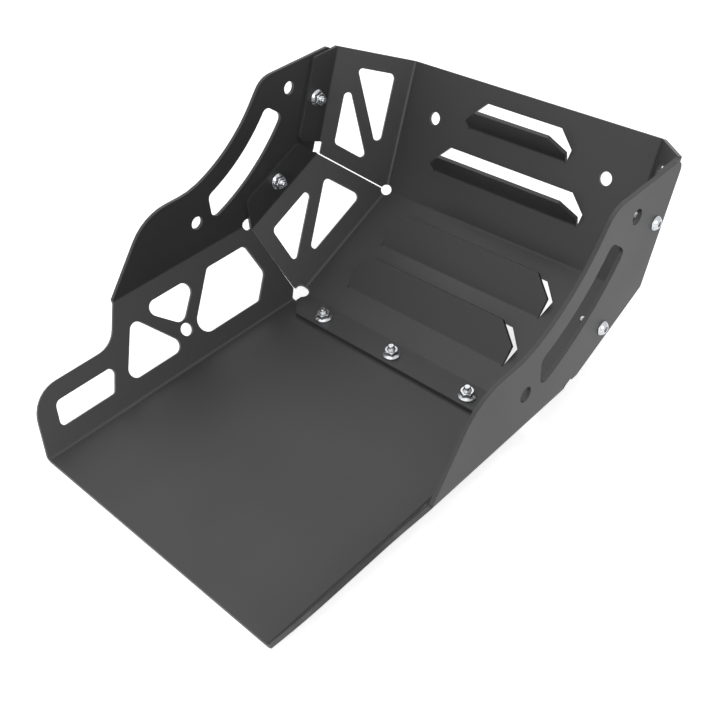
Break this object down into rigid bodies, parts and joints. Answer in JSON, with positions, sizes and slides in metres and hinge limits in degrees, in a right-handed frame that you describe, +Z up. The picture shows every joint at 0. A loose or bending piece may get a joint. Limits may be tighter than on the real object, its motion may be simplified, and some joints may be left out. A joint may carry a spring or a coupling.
{
  "type": "motorcycle engine guard",
  "caption": "Folded sheet-metal skid plate for a motorcycle engine: a flat floor with winged sides bolted to a louvred, upswept front plate.",
  "frame": {"origin": "middle of the floor's underside", "axes": "+X to the rider's right, +Y forward, +Z up"},
  "size_m": [0.3326, 0.4218, 0.1883],
  "materials": {
    "coat": "satin black powder coat",
    "steel": "bright zinc-plated steel"
  },
  "bodies": {
    "root": {"belly_plate": "coat", "front_plate": "coat", "floor_screws": "steel", "floor_nuts": "steel", "side_screws": "steel", "side_nuts": "steel"}
  },
  "joints": []
}
